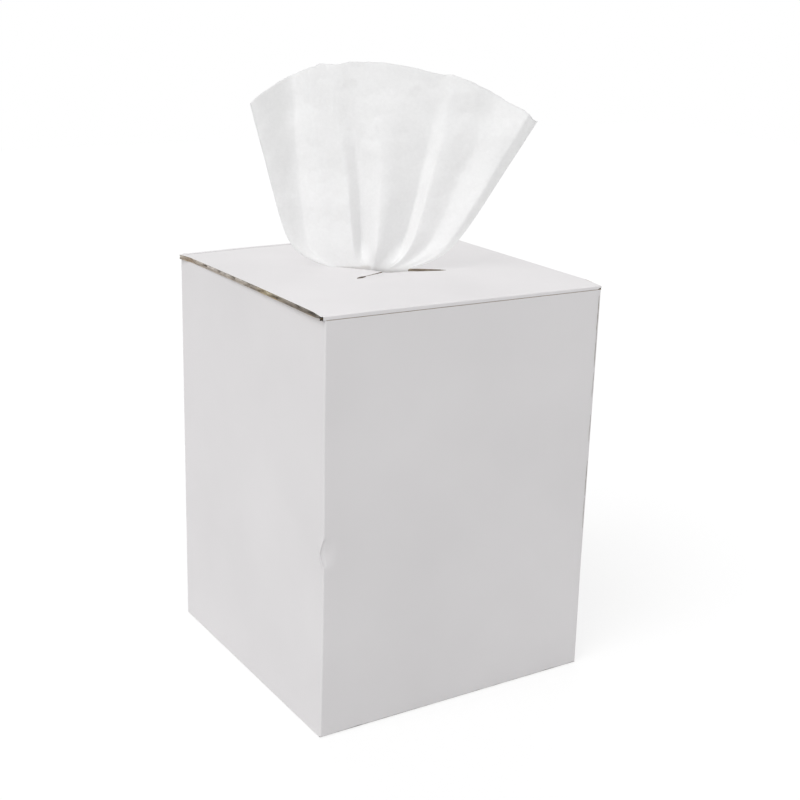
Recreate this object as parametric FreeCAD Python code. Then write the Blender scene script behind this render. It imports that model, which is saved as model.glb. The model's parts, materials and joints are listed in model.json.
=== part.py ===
import FreeCAD, Part
import math
import os

# A dispenser carton of industrial wipes: a tall corrugated box whose hinged lid has an X-shaped
# slit, a centre-pull roll of wipes standing inside, and the first wipe pulled up through the slit.
# Millimetres. X is the width, Y the depth and Z is up. The front wall is at -Y, the lid's crease
# is at the top of the back wall at +Y, and the origin is at the centre of the base.

Vector = FreeCAD.Vector

# ---- the carton ---------------------------------------------------------------------------------
box_width = 229.0
box_depth = 229.0
box_height = 305.0
board = 3.0               # thickness of the corrugated board
crease_radius = 2.5       # outside radius of a folded edge
layer_gap = 0.3           # between boards that only lie on each other

# bottom: side flaps outside, front and back flaps glued on top of them
flap_seam = 0.5           # between two flaps that meet in the middle
wall_lift = 1.0           # the front and back walls end this far above the floor

# flaps of the side walls under the lid
dust_flap_length = 65.0
dust_flap_front_gap = 8.0  # from the inside of the front wall, where the tuck flap swings past
dust_flap_back_gap = 3.0   # from the inside of the back wall

# the glued joint: the back wall folds into a tab on the inside of the right wall
tab_width = 32.0
tab_end_gap = 8.0         # from the top and from the bottom flaps
raw_edge_setback = 0.8    # the right wall's cut edge stands this far short of the back face

# a crushed spot on the crease between the front and left walls
dent_height = 140.0
dent_length = 18.0
dent_depth = 2.2

# ---- the lid ------------------------------------------------------------------------------------
lid_overhang = 1.5        # past the left wall
crease_gap = 0.3          # between the lid's end and the back wall's outer face
tuck_depth = 40.0
tuck_side_gap = 2.0
tuck_corner_radius = 14.0
fold_tunnel_radius = 0.8  # the open flute that shows at the ends of the lid's front fold
fold_tunnel_length = 14.0

# the slit: two crossing cuts, each turned from X by its own angle
main_cut_angle = -33.0    # the wipe comes up through this one
main_cut_left = 40.0
main_cut_right = 47.0
main_cut_width = 3.0
cross_cut_angle = 32.5
cross_cut_left = 44.0
cross_cut_right = 44.0
cross_cut_width = 1.0
tip_lift = {"front": -7.0, "left": -5.0, "right": 3.0, "back": 5.0}  # degrees

# ---- the roll -----------------------------------------------------------------------------------
roll_side_room = 13.0     # between the roll and the outside of the nearest walls
roll_head_room = 13.4     # between the roll and the dust flaps
roll_seat_gap = 0.3
roll_bore = 76.0
roll_edge_radius = 3.0
roll_turns = 12           # shallow steps that the turns leave in the top end
turn_step = 0.6

# ---- the pulled wipe ----------------------------------------------------------------------------
wipe_thickness = 1.0
tail_length = 42.0        # below the lid's underside, gathered in the roll's bore
tail_half_width = 14.0
stations_across = 71
stations_up = 24
stations_down = 7
crest_rise = 150.0        # the highest point of the torn edge above the lid's top
crest_share = 0.35        # the crest's place across the wipe, from 0 at the left to 1 at the right
left_fall = 30.0          # the two top corners stand this far below the crest
right_fall = 40.0
left_neck = 14.0          # in the slit, the wipe reaches this far either side of its middle
right_neck = 12.0
left_flare = 55.0         # just above the slit, each edge spreads out by this much
right_flare = 20.0
flare_height = 8.0
left_slope = 0.3          # then it runs straight up and out
right_slope = 0.6
gather_height = 28.0      # the folds reach their full relief this far above the slit
tip_clearance = 2.0       # folds towards the back start above the raised back tip
slit_lean_height = 10.0   # above the slit the wipe no longer leans on its back edge

# The folds run from the slit to the torn edge. Each has its share of the wipe's width and its
# relief towards the front, first at the slit and then at the height of the crest.
folds = {
    "left edge": ((0.0, 0.0), (5, 15)),
    "left crease": ((0.1, 0.15), (0, -8)),
    "slanting fold": ((0.4, 0.2), (3, 1)),
    "left groove": ((0.45, 0.35), (-10, 0)),
    "middle pleat": ((0.55, 0.45), (8, 3)),
    "deep groove": ((0.65, 0.65), (-12, -4)),
    "right panel": ((0.7, 0.7), (2, 1)),
    "soft groove": ((0.85, 0.8), (-2, -5)),
    "right swell": ((0.9, 0.9), (0, 0)),
    "right edge": ((1.0, 1.0), (0, -15)),
}

# ---- levels that follow -------------------------------------------------------------------------
half_width = box_width / 2
half_depth = box_depth / 2
lid_under = box_height - board
wall_top = lid_under - layer_gap
floor_top = 2 * board
hinge_y = half_depth
hinge_z = (lid_under + wall_top) / 2
roll_diameter = min(box_width, box_depth) - 2 * roll_side_room
roll_base = floor_top + roll_seat_gap
roll_top = wall_top - board - roll_head_room
slit_lean = (main_cut_width - wipe_thickness) / 2 - layer_gap


def block(x0, x1, y0, y1, z0, z1):
    return Part.makeBox(x1 - x0, y1 - y0, z1 - z0, Vector(x0, y0, z0))


def prism(points, z0, z1):
    """An upright prism over a closed outline of (x, y) points."""
    corners = [Vector(x, y, z0) for x, y in points]
    face = Part.Face(Part.makePolygon(corners + corners[:1]))
    return face.extrude(Vector(0, 0, z1 - z0))


def edge_waste(corner, inward_a, inward_b, along):
    """The sliver that rounding removes from one outside edge. The edge starts at corner and runs
    along, and the two faces beside it lie in the inward directions."""
    a = inward_a * crease_radius
    b = inward_b * crease_radius
    square = Part.Face(Part.makePolygon([corner, corner + a, corner + a + b, corner + b, corner]))
    rod = Part.makeCylinder(crease_radius, along.Length, corner + a + b, along)
    return square.extrude(along).cut(rod)


# ---- carton -------------------------------------------------------------------------------------
def wall_tube():
    """The four walls, with creased corners. At the back right corner the back wall folds in
    beside the right wall's cut edge."""
    outside = block(-half_width, half_width, -half_depth, half_depth, 0, wall_top)
    inside = block(-half_width + board, half_width - board, -half_depth + board,
                   half_depth - board, -board, box_height)
    tube = outside.cut(inside)
    up = Vector(0, 0, wall_top)
    for side, end in ((-1, -1), (-1, 1), (1, -1)):
        corner = Vector(side * half_width, end * half_depth, 0)
        tube = tube.cut(edge_waste(corner, Vector(-side, 0, 0), Vector(0, -end, 0), up))
    tube = tube.cut(block(half_width - board, half_width, half_depth - raw_edge_setback,
                          half_depth, 0, wall_top))
    fold = Vector(half_width - board, half_depth, 0)
    return tube.cut(edge_waste(fold, Vector(-1, 0, 0), Vector(0, -1, 0), up))


def glue_tab():
    return block(half_width - 2 * board, half_width - board, half_depth - tab_width,
                 half_depth - board, floor_top + tab_end_gap, wall_top - board - tab_end_gap)


def bottom_flaps():
    """Outer flaps fold in from the side walls, and the inner ones from the front and back."""
    inner_x = half_width - board
    inner_y = half_depth - board
    seam = flap_seam / 2
    flaps = []
    for side in (-1, 1):
        outer = sorted((side * inner_x, side * seam))
        flaps.append(block(outer[0], outer[1], -inner_y + layer_gap, inner_y - layer_gap, 0, board))
        inner = sorted((side * inner_y, side * seam))
        flaps.append(block(-inner_x, inner_x, inner[0], inner[1], board, floor_top))
    return flaps


def dust_flaps():
    front = -half_depth + board + dust_flap_front_gap
    back = half_depth - board - dust_flap_back_gap
    flaps = []
    for side in (-1, 1):
        x0, x1 = sorted((side * half_width, side * (half_width - dust_flap_length)))
        flap = block(x0, x1, front, back, wall_top - board, wall_top)
        edge = Vector(side * half_width, front, wall_top)
        waste = edge_waste(edge, Vector(-side, 0, 0), Vector(0, 0, -1), Vector(0, back - front, 0))
        flaps.append((flap, waste))
    return flaps


def dent_ball():
    """A ball that bites dent_depth into the front left crease over dent_length of its height."""
    radius = ((dent_length / 2) ** 2 + dent_depth ** 2) / (2 * dent_depth)
    crease = crease_radius * (1 - math.sqrt(0.5))
    reach = (radius - dent_depth) * math.sqrt(0.5) - crease
    centre = Vector(-half_width - reach, -half_depth - reach, dent_height)
    return Part.makeSphere(radius, centre)


def carton():
    """The carton's one folded and glued sheet, apart from its lid."""
    sheet = wall_tube().fuse([glue_tab()] + bottom_flaps())
    for flap, waste in dust_flaps():
        sheet = sheet.fuse(flap).cut(waste)
    lift = wall_lift
    for end in (-1, 1):
        y0, y1 = sorted((end * half_depth, end * (half_depth - board - layer_gap)))
        sheet = sheet.cut(block(-half_width + board, half_width - board, y0, y1, 0, lift))
    for side in (-1, 1):
        edge = Vector(side * half_width, -half_depth, 0)
        sheet = sheet.cut(edge_waste(edge, Vector(-side, 0, 0), Vector(0, 0, 1),
                                     Vector(0, box_depth, 0)))
    return sheet.cut(dent_ball()).removeSplitter()


# ---- lid ----------------------------------------------------------------------------------------
def on_lid(length, angle):
    """A point on the lid, a length from the slit's centre at an angle from X."""
    turn = math.radians(angle)
    return (length * math.cos(turn), length * math.sin(turn))


def slit_ends():
    return {
        "front right": on_lid(main_cut_right, main_cut_angle),
        "back left": on_lid(-main_cut_left, main_cut_angle),
        "back right": on_lid(cross_cut_right, cross_cut_angle),
        "front left": on_lid(-cross_cut_left, cross_cut_angle),
    }


def slit_tips():
    """Each tip of board between the cuts, bent up or down about the line between its two cut
    ends."""
    ends = slit_ends()
    sides = (("front", "front left", "front right"), ("right", "front right", "back right"),
             ("back", "back right", "back left"), ("left", "back left", "front left"))
    cuts = cut_blades()
    tips = []
    for name, first, second in sides:
        a, b = ends[first], ends[second]
        tip = prism((a, b, (0, 0)), lid_under, box_height)
        for blade in cuts:
            tip = tip.cut(blade)
        axis = Vector(b[0] - a[0], b[1] - a[1], 0)
        pivot_height = lid_under if tip_lift[name] > 0 else box_height
        tip.rotate(Vector(a[0], a[1], pivot_height), axis, tip_lift[name])
        tips.append(tip)
    return tips


def cut_blades():
    blades = []
    for angle, left, right, width in (
            (main_cut_angle, main_cut_left, main_cut_right, main_cut_width),
            (cross_cut_angle, cross_cut_left, cross_cut_right, cross_cut_width)):
        blade = block(-left, right, -width / 2, width / 2, lid_under - board, box_height + board)
        blade.rotate(Vector(0, 0, 0), Vector(0, 0, 1), angle)
        blades.append(blade)
    return blades


def tuck_flap():
    """The flap inside the front wall. It leans back just enough for its end to pass the front
    wall as the lid swings up about its crease."""
    reach = hinge_y + half_depth - board - layer_gap
    low = hinge_z - (lid_under - tuck_depth)
    top = Vector(0, hinge_y - reach, lid_under)
    end = Vector(0, hinge_y - math.sqrt(reach ** 2 - low ** 2), lid_under - tuck_depth)
    left = -half_width + board + tuck_side_gap
    right = half_width - board - tuck_side_gap
    down = (end - top).normalize()
    inward = Vector(0, -down.z, down.y)
    corners = [top, end, end + inward * board, top + inward * board]
    section = Part.Face(Part.makePolygon([corner + Vector(left, 0, 0) for corner in corners
                                          + corners[:1]]))
    flap = section.extrude(Vector(right - left, 0, 0))
    for x, side in ((left, 1), (right, -1)):
        pivot = end + down * -tuck_corner_radius + Vector(x + side * tuck_corner_radius, 0, 0)
        corner_block = Part.Face(Part.makePolygon([
            end + Vector(x, 0, 0), pivot + down * tuck_corner_radius, pivot,
            end + down * -tuck_corner_radius + Vector(x, 0, 0), end + Vector(x, 0, 0)]))
        waste = corner_block.extrude(inward * board)
        rod = Part.makeCylinder(tuck_corner_radius, board, pivot, inward)
        flap = flap.cut(waste.cut(rod))
    return flap


def lid():
    """The lid panel with its slit, front fold and tuck flap."""
    left = -half_width - lid_overhang
    panel = block(left, half_width, -half_depth, half_depth - crease_gap, lid_under, box_height)
    along = Vector(half_width - left, 0, 0)
    for y, inward in ((-half_depth, 1), (half_depth - crease_gap, -1)):
        edge = Vector(left, y, box_height)
        panel = panel.cut(edge_waste(edge, Vector(0, inward, 0), Vector(0, 0, -1), along))
    ends = slit_ends()
    hole = prism([ends[name] for name in ("front left", "front right", "back right", "back left")],
                 lid_under, box_height)
    for blade in cut_blades():
        panel = panel.cut(blade)
    panel = panel.cut(hole).fuse(slit_tips())
    panel = panel.fuse(tuck_flap())
    for x, way in ((left, 1), (half_width, -1)):
        centre = Vector(x, -half_depth + board / 2, box_height - board / 2)
        panel = panel.cut(Part.makeCylinder(fold_tunnel_radius, fold_tunnel_length, centre,
                                            Vector(way, 0, 0)))
    return panel.removeSplitter()


# ---- roll ---------------------------------------------------------------------------------------
def wipe_roll():
    """The wound roll, turned about Z: a bore, rounded outer edges and a stepped top end."""
    bore = roll_bore / 2
    outside = roll_diameter / 2
    pitch = (outside - roll_edge_radius - bore) / roll_turns
    points = [Vector(bore, 0, roll_base), Vector(outside, 0, roll_base),
              Vector(outside, 0, roll_top - roll_edge_radius)]
    for turn in range(roll_turns):
        edge = outside - roll_edge_radius - turn * pitch
        points.append(Vector(edge, 0, roll_top))
        points.append(Vector(edge - pitch, 0, roll_top - turn_step))
    face = Part.Face(Part.makePolygon(points + points[:1]))
    return face.revolve(Vector(0, 0, 0), Vector(0, 0, 1), 360)


# ---- pulled wipe --------------------------------------------------------------------------------
def smooth(value):
    value = min(max(value, 0.0), 1.0)
    return value * value * (3 - 2 * value)


def edge_reach(neck, flare, slope, height):
    """How far out one edge of the wipe stands: it flares from the slit, then runs straight."""
    above = max(height, 0.0)
    return neck + flare * (1 - math.exp(-above / flare_height)) + slope * above


def torn_height(share):
    """The height of the torn edge, on the arch from its crest down to the nearer top corner."""
    if share < crest_share:
        return crest_rise - left_fall * (1 - share / crest_share) ** 2
    return crest_rise - right_fall * ((share - crest_share) / (1 - crest_share)) ** 2


def relief_at(share, height):
    """The wipe's relief between the two folds that share lies between."""
    up = min(max(height / crest_rise, 0.0), 1.0)
    marks = [(places[0] + (places[1] - places[0]) * up, reliefs[0] + (reliefs[1] - reliefs[0]) * up)
             for places, reliefs in folds.values()]
    for left, right in zip(marks, marks[1:]):
        if share <= right[0]:
            part = (share - left[0]) / (right[0] - left[0])
            return left[1] + (right[1] - left[1]) * (0.35 * part + 0.65 * smooth(part))
    return marks[-1][1]


def fan_point(share, rise):
    """A point of the wipe above the lid's underside. share runs from 0 at the left edge to 1 at
    the right, and rise from 0 in the slit to 1 at the torn edge."""
    height = -board + rise * (torn_height(share) + board)
    left = -edge_reach(left_neck, left_flare, left_slope, height)
    right = edge_reach(right_neck, right_flare, right_slope, height)
    relief = relief_at(share, height)
    if relief > 0:
        relief *= smooth((height + board) / gather_height)
    else:
        relief *= smooth((height - tip_clearance) / gather_height)
    lean = slit_lean * smooth(1 - height / slit_lean_height)
    return Vector(left + (right - left) * share, lean - relief, box_height + height)


def tail_point(share, fall):
    """A point of the wipe below the lid, where it gathers into the roll's bore."""
    across = (left_neck + right_neck) * share - left_neck
    gathered = (2 * share - 1) * tail_half_width
    lean = slit_lean * (1 - smooth(fall))
    return Vector(across + (gathered - across) * smooth(fall), lean, lid_under - tail_length * fall)


def wipe_grid():
    """Rows of points from the tail's end, through the slit, to the torn edge."""
    shares = [i / (stations_across - 1) for i in range(stations_across)]
    rows = []
    for step in range(stations_down, 0, -1):
        rows.append([tail_point(share, step / stations_down) for share in shares])
    for step in range(stations_up):
        rise = (step / (stations_up - 1)) ** 1.2
        rows.append([fan_point(share, rise) for share in shares])
    return rows


def offset_rows(rows, distance):
    """The same rows moved along the sheet's own normal."""
    moved = []
    for j, row in enumerate(rows):
        below = rows[max(j - 1, 0)]
        above = rows[min(j + 1, len(rows) - 1)]
        line = []
        for i, point in enumerate(row):
            across = row[min(i + 1, len(row) - 1)] - row[max(i - 1, 0)]
            along = above[i] - below[i]
            normal = across.cross(along).normalize()
            line.append(point + normal * distance)
        moved.append(line)
    return moved


def pulled_wipe():
    """The wipe as a closed thin solid: a front and a back surface, joined round the edges."""
    rows = wipe_grid()
    surfaces = []
    for distance in (-wipe_thickness / 2, wipe_thickness / 2):
        surface = Part.BSplineSurface()
        surface.interpolate(offset_rows(rows, distance))
        surfaces.append(surface)
    faces = [surface.toShape() for surface in surfaces]
    front, back = surfaces
    u0, u1, v0, v1 = front.bounds()
    for border in (lambda s: s.uIso(u0), lambda s: s.uIso(u1),
                   lambda s: s.vIso(v0), lambda s: s.vIso(v1)):
        faces.append(Part.makeRuledSurface(border(front).toShape(), border(back).toShape()))
    shell = Part.Shell(faces)
    shell.sewShape()
    solid = Part.Solid(shell)
    if solid.Volume < 0:
        solid.reverse()
    solid.rotate(Vector(0, 0, 0), Vector(0, 0, 1), main_cut_angle)
    return solid


def write_parts():
    os.makedirs("parts", exist_ok=True)
    nodes = {
        "carton": carton(),
        "lid": lid(),
        "wipe_roll": wipe_roll(),
        "pulled_wipe": pulled_wipe(),
    }
    for node, shape in nodes.items():
        shape.exportStep("parts/" + node + ".step")
        print(node, "valid", shape.isValid(), "solids", len(shape.Solids),
              "volume", round(shape.Volume), "faces", len(shape.Faces))


write_parts()
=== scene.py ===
import json
import math

import bpy
import numpy as np
from mathutils import Matrix, Vector, noise


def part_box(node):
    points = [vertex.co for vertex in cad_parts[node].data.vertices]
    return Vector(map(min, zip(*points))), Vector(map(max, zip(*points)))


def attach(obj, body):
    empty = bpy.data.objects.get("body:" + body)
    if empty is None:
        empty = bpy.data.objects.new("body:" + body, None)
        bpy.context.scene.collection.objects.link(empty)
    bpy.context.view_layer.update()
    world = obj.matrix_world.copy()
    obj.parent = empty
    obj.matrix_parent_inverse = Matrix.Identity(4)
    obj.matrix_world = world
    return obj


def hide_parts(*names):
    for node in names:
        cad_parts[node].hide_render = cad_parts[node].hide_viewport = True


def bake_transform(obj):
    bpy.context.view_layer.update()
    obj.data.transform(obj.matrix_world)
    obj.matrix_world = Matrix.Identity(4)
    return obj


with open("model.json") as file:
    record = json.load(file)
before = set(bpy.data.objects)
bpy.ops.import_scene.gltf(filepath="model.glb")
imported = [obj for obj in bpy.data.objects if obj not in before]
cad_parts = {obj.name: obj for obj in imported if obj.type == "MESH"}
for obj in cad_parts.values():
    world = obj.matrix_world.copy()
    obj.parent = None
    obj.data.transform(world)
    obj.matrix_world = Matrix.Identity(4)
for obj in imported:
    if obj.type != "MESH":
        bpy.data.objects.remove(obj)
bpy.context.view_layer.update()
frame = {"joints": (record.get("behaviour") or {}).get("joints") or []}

# A tall white corrugated carton of wipes. The front wall faces -Y, the lid's crease is at the top
# of the back wall. Lengths are metres; MM turns millimetres into them.
MM = 0.001

# ---- sizes of the board and of the carton, from the frame ---------------------------------------
BOARD = 3.0 * MM
LINER = 0.45 * MM          # each of the two papers on the board's faces
FLUTE_PITCH = 6.4 * MM
CREASE = 2.6 * MM          # outside radius of the crease at the back of the lid
CORNER = 1.2 * MM          # outside radius of the upright corners
FOLD = 0.6 * MM            # outside radius of the sharp folds at the top of the walls
GAP = 0.3 * MM

WALLS_LOW, WALLS_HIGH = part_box("carton")
LEFT, RIGHT = WALLS_LOW.x, WALLS_HIGH.x
FRONT, BACK = WALLS_LOW.y, WALLS_HIGH.y
WALL_TOP = WALLS_HIGH.z
LID_UNDER = WALL_TOP + GAP
LID_TOP = LID_UNDER + BOARD
LID_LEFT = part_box("lid")[0].x
TUCK_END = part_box("lid")[0].z
ROLL_LOW, ROLL_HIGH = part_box("wipe_roll")
HINGE = Vector(frame["joints"][0]["pos_m"])

# How the board has set in use, as its rise at the two ends of each edge: front and back on the left
# side, left and right at the front. The lid's front left corner is pressed down and crushed thinner.
LEFT_EDGE_RISE = (1.5 * MM, -1.0 * MM)
LEFT_WALL_RISE = (1.6 * MM, -0.7 * MM)
FRONT_EDGE_RISE = (0.9 * MM, -1.2 * MM)
FRONT_WALL_RISE = (1.0 * MM, -0.6 * MM)
LEFT_EDGE_DEPTH = 1.1 * BOARD
CORNER_CRUSH = 2.0 * MM
CORNER_PRESSED = 1.0 * MM
CORNER_REACH = 12 * MM


# ---- small helpers ------------------------------------------------------------------------------
def colour(code):
    """An sRGB hex colour as the linear colour that shaders use."""
    parts = [int(code[i:i + 2], 16) / 255 for i in (0, 2, 4)]
    linear = [c / 12.92 if c <= 0.04045 else ((c + 0.055) / 1.055) ** 2.4 for c in parts]
    return (*linear, 1.0)


def smooth(value):
    value = np.clip(value, 0.0, 1.0)
    return value * value * (3 - 2 * value)


def along(points, value):
    """The second numbers of the points, straight between their first ones."""
    return np.interp(value, [p[0] for p in points], [p[1] for p in points])


def between_ends(ends, share, power=1):
    """A value that passes from one end of an edge to the other."""
    return ends[0] + (ends[1] - ends[0]) * np.clip(share, 0, 1) ** power


def front_to_back(y):
    return (y - FRONT) / (BACK - FRONT)


def left_to_right(x):
    return (x - LEFT) / (RIGHT - LEFT)


def left_edge_rise(y):
    """How far the lid's left edge stands above the flat: bowed up, but pressed down in front."""
    bowed = between_ends(LEFT_EDGE_RISE, front_to_back(y), 2)
    return bowed - CORNER_PRESSED * smooth(1 - (y - FRONT) / CORNER_REACH)


def left_wall_rise(y):
    return between_ends(LEFT_WALL_RISE, front_to_back(y))


def front_wall_rise(x):
    return between_ends(FRONT_WALL_RISE, left_to_right(x))


def left_edge_depth(y):
    return LEFT_EDGE_DEPTH - CORNER_CRUSH * smooth(1 - (y - FRONT) / CORNER_REACH)


def add(tree, kind, settings=None, links=None):
    """Adds one node. settings are attributes or input values, and links feed its inputs."""
    node = tree.nodes.new(kind)
    for name, value in (settings or {}).items():
        if isinstance(name, int) or name in node.inputs:
            node.inputs[name].default_value = value
        else:
            setattr(node, name, value)
    for name, source in (links or {}).items():
        tree.links.new(source, node.inputs[name])
    return node


def new_material(name):
    material = bpy.data.materials.new(name)
    material.use_nodes = True
    material.node_tree.nodes.clear()
    return material, material.node_tree


def ramp(tree, source, stops):
    """A colour ramp over source, with (position, hex colour) stops."""
    node = add(tree, "ShaderNodeValToRGB", links={"Fac": source})
    elements = node.color_ramp.elements
    while len(elements) < len(stops):
        elements.new(0.5)
    for element, (position, code) in zip(elements, stops):
        element.position = position
        element.color = colour(code)
    return node.outputs["Color"]


def cloudy(tree, place, scale, detail, roughness=0.5):
    """Noise over the places that the socket gives."""
    return add(tree, "ShaderNodeTexNoise", {"Scale": scale, "Detail": detail, "Roughness": roughness},
               {"Vector": place})


def maths(tree, operation, *values):
    """One step of arithmetic on sockets and plain numbers."""
    node = add(tree, "ShaderNodeMath", {"operation": operation})
    for i, value in enumerate(values):
        if isinstance(value, (int, float)):
            node.inputs[i].default_value = value
        else:
            tree.links.new(value, node.inputs[i])
    return node.outputs[0]


def multiplied(tree, under, over):
    """One colour times another."""
    mixed = add(tree, "ShaderNodeMix", {"data_type": "RGBA", "blend_type": "MULTIPLY", 0: 1.0},
                {6: under, 7: over})
    return mixed.outputs[2]


def show(tree, surface):
    add(tree, "ShaderNodeOutputMaterial", links={"Surface": surface})


class Shape:
    """Vertices and faces of one piece, gathered sheet by sheet, each face with its material."""

    def __init__(self):
        self.points, self.faces, self.finishes, self.runs = [], [], [], []

    def sheet(self, rows, finish, closed=False, flip=False, down=None):
        """A grid of points as a sheet. Its run is the distance along a row and along a column,
        or the distances that down gives for the rows."""
        rows = np.asarray(rows, float)
        start, across = len(self.points), rows.shape[1]
        along = np.concatenate([[0], np.cumsum(np.linalg.norm(np.diff(rows[0], axis=0), axis=1))])
        up = np.concatenate([[0], np.cumsum(np.linalg.norm(np.diff(rows[:, 0], axis=0), axis=1))])
        up = up if down is None else down
        for j, row in enumerate(rows):
            for i, point in enumerate(row):
                self.points.append(tuple(point))
                self.runs.append((along[i], up[j]))
        last = across if closed else across - 1
        for j in range(len(rows) - 1):
            for i in range(last):
                a = start + j * across + i
                b = start + j * across + (i + 1) % across
                face = (a, b, b + across, a + across)
                self.faces.append(face[::-1] if flip else face)
                self.finishes.append(finish)

    def build(self, name, materials, body, weld=True):
        mesh = bpy.data.meshes.new(name)
        mesh.from_pydata(self.points, [], self.faces)
        for material in materials:
            mesh.materials.append(material)
        mesh.polygons.foreach_set("material_index", self.finishes)
        layer = mesh.uv_layers.new(name="run")
        for loop in mesh.loops:
            layer.data[loop.index].uv = self.runs[loop.vertex_index]
        mesh.polygons.foreach_set("use_smooth", [True] * len(mesh.polygons))
        piece = bpy.data.objects.new(name, mesh)
        bpy.context.scene.collection.objects.link(piece)
        if weld:
            harden(piece)
        if body:
            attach(piece, body)
        return piece


def harden(piece, angle=40):
    """Splits the shading at corners sharper than angle."""
    split = piece.modifiers.new("corners", "EDGE_SPLIT")
    split.split_angle = math.radians(angle)


def thicken(piece, thickness, offset=-1, rim=None):
    solid = piece.modifiers.new("thickness", "SOLIDIFY")
    solid.thickness = thickness
    solid.offset = offset
    solid.use_even_offset = True
    piece.modifiers.move(len(piece.modifiers) - 1, 0)
    if rim is not None:
        solid.material_offset_rim = rim


# ---- materials ----------------------------------------------------------------------------------
def bleached_liner():
    """Clay-coated bleached liner, calendered and glued over flutes: an even white with a low
    sheen, a faint washboard from the flutes below and fine paper grain."""
    material, tree = new_material("bleached_liner")
    place = add(tree, "ShaderNodeTexCoord")
    blotch = cloudy(tree, place.outputs["Object"], 9.0, 3.0)
    even = ramp(tree, blotch.outputs["Fac"], ((0.3, "D9D7D8"), (0.7, "DEDCDD")))
    # painted contact shadow: the foot of the front wall is greyed where it meets the ground
    tint = front_foot_contact_shade(tree, even, place)
    run = add(tree, "ShaderNodeSeparateXYZ", links={"Vector": place.outputs["UV"]})
    turns = maths(tree, "MULTIPLY", run.outputs["X"], 2 * math.pi / FLUTE_PITCH)
    washboard = maths(tree, "SINE", turns)
    # paper fibres are about 0.05 mm wide, drawn ten times coarser so that they show
    grain = cloudy(tree, place.outputs["Object"], 1200.0, 4.0)
    board = add(tree, "ShaderNodeBump", {"Strength": 0.10, "Distance": 0.05 * MM}, {"Height": washboard})
    paper = add(tree, "ShaderNodeBump", {"Strength": 0.25, "Distance": 0.02 * MM},
                {"Height": grain.outputs["Fac"], "Normal": board.outputs["Normal"]})
    patch = cloudy(tree, place.outputs["Object"], 30.0, 5.0)
    rough = add(tree, "ShaderNodeMapRange", {"To Min": 0.42, "To Max": 0.58},
                {"Value": patch.outputs["Fac"]})
    shader = add(tree, "ShaderNodeBsdfPrincipled", {"IOR": 1.5, "Specular IOR Level": 0.3},
                 {"Base Color": tint, "Roughness": rough.outputs["Result"],
                  "Normal": paper.outputs["Normal"]})
    show(tree, shader.outputs[0])
    return material


def front_foot_contact_shade(tree, tint, place):
    """Paints shade on the lowest millimetre of the front: a contact shadow where the crease meets the
    ground, broken up by noise.
    """
    at = add(tree, "ShaderNodeSeparateXYZ", links={"Vector": place.outputs["Object"]})
    uneven = cloudy(tree, place.outputs["Object"], 90.0, 2.0)
    height = add(tree, "ShaderNodeMapRange", {"From Min": 0.3 * MM, "From Max": 1.5 * MM},
                 {"Value": at.outputs["Z"]})
    behind = add(tree, "ShaderNodeMapRange", {"From Min": FRONT + 1.2 * MM, "From Max": FRONT + 2.5 * MM},
                 {"Value": at.outputs["Y"]})
    unshaded_mask = maths(tree, "MAXIMUM", height.outputs["Result"], behind.outputs["Result"])
    broken = maths(tree, "MULTIPLY_ADD", uneven.outputs["Fac"], 1.2, -0.65)
    share = maths(tree, "ADD", unshaded_mask, broken)
    # the grey end of the ramp is the painted contact shadow
    return multiplied(tree, tint, ramp(tree, share, ((0.0, "908E8C"), (0.6, "FFFFFF"))))


def kraft_paper(name, light, dark):
    """Unbleached kraft, matt and fibrous: brown with paler and darker flecks."""
    material, tree = new_material(name)
    place = add(tree, "ShaderNodeTexCoord")
    fleck = cloudy(tree, place.outputs["Object"], 700.0, 6.0, 0.7)
    tint = ramp(tree, fleck.outputs["Fac"], ((0.3, dark), (0.7, light)))
    bump = add(tree, "ShaderNodeBump", {"Strength": 0.4, "Distance": 0.05 * MM},
               {"Height": fleck.outputs["Fac"]})
    shader = add(tree, "ShaderNodeBsdfPrincipled", {"IOR": 1.5, "Roughness": 0.85},
                 {"Base Color": tint, "Normal": bump.outputs["Normal"]})
    show(tree, shader.outputs[0])
    return material


def cut_board(name, crushed=False):
    """Die-cut edge of the board: grey-brown fibre, pale torn bits and painted shade in its hollows.
    Crushed, it runs from grey at the back to a painted near-black shade at the front, darker below."""
    material, tree = new_material(name)
    place = add(tree, "ShaderNodeTexCoord")
    stretch = add(tree, "ShaderNodeMapping", {"Scale": (140.0, 140.0, 900.0)},
                  {"Vector": place.outputs["Object"]})
    fibre = cloudy(tree, stretch.outputs["Vector"], 1.0, 6.0, 0.65)
    # the darkest stop, where the fibre noise and the bump are low, is painted shade in the edge's
    # hollows; the other stops are the board's own tones
    tint = ramp(tree, fibre.outputs["Fac"],
                ((0.30, "3B332B"), (0.45, "8A7E70"), (0.60, "A79A88"), (0.75, "CDBFA8")))
    if crushed:
        tint = crushed_edge_tone_and_shade(tree, place, fibre)
    bump = add(tree, "ShaderNodeBump", {"Strength": 0.8, "Distance": 0.3 * MM},
               {"Height": fibre.outputs["Fac"]})
    shader = add(tree, "ShaderNodeBsdfPrincipled", {"IOR": 1.5, "Roughness": 0.9},
                 {"Base Color": tint, "Normal": bump.outputs["Normal"]})
    show(tree, shader.outputs[0])
    return material


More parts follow.
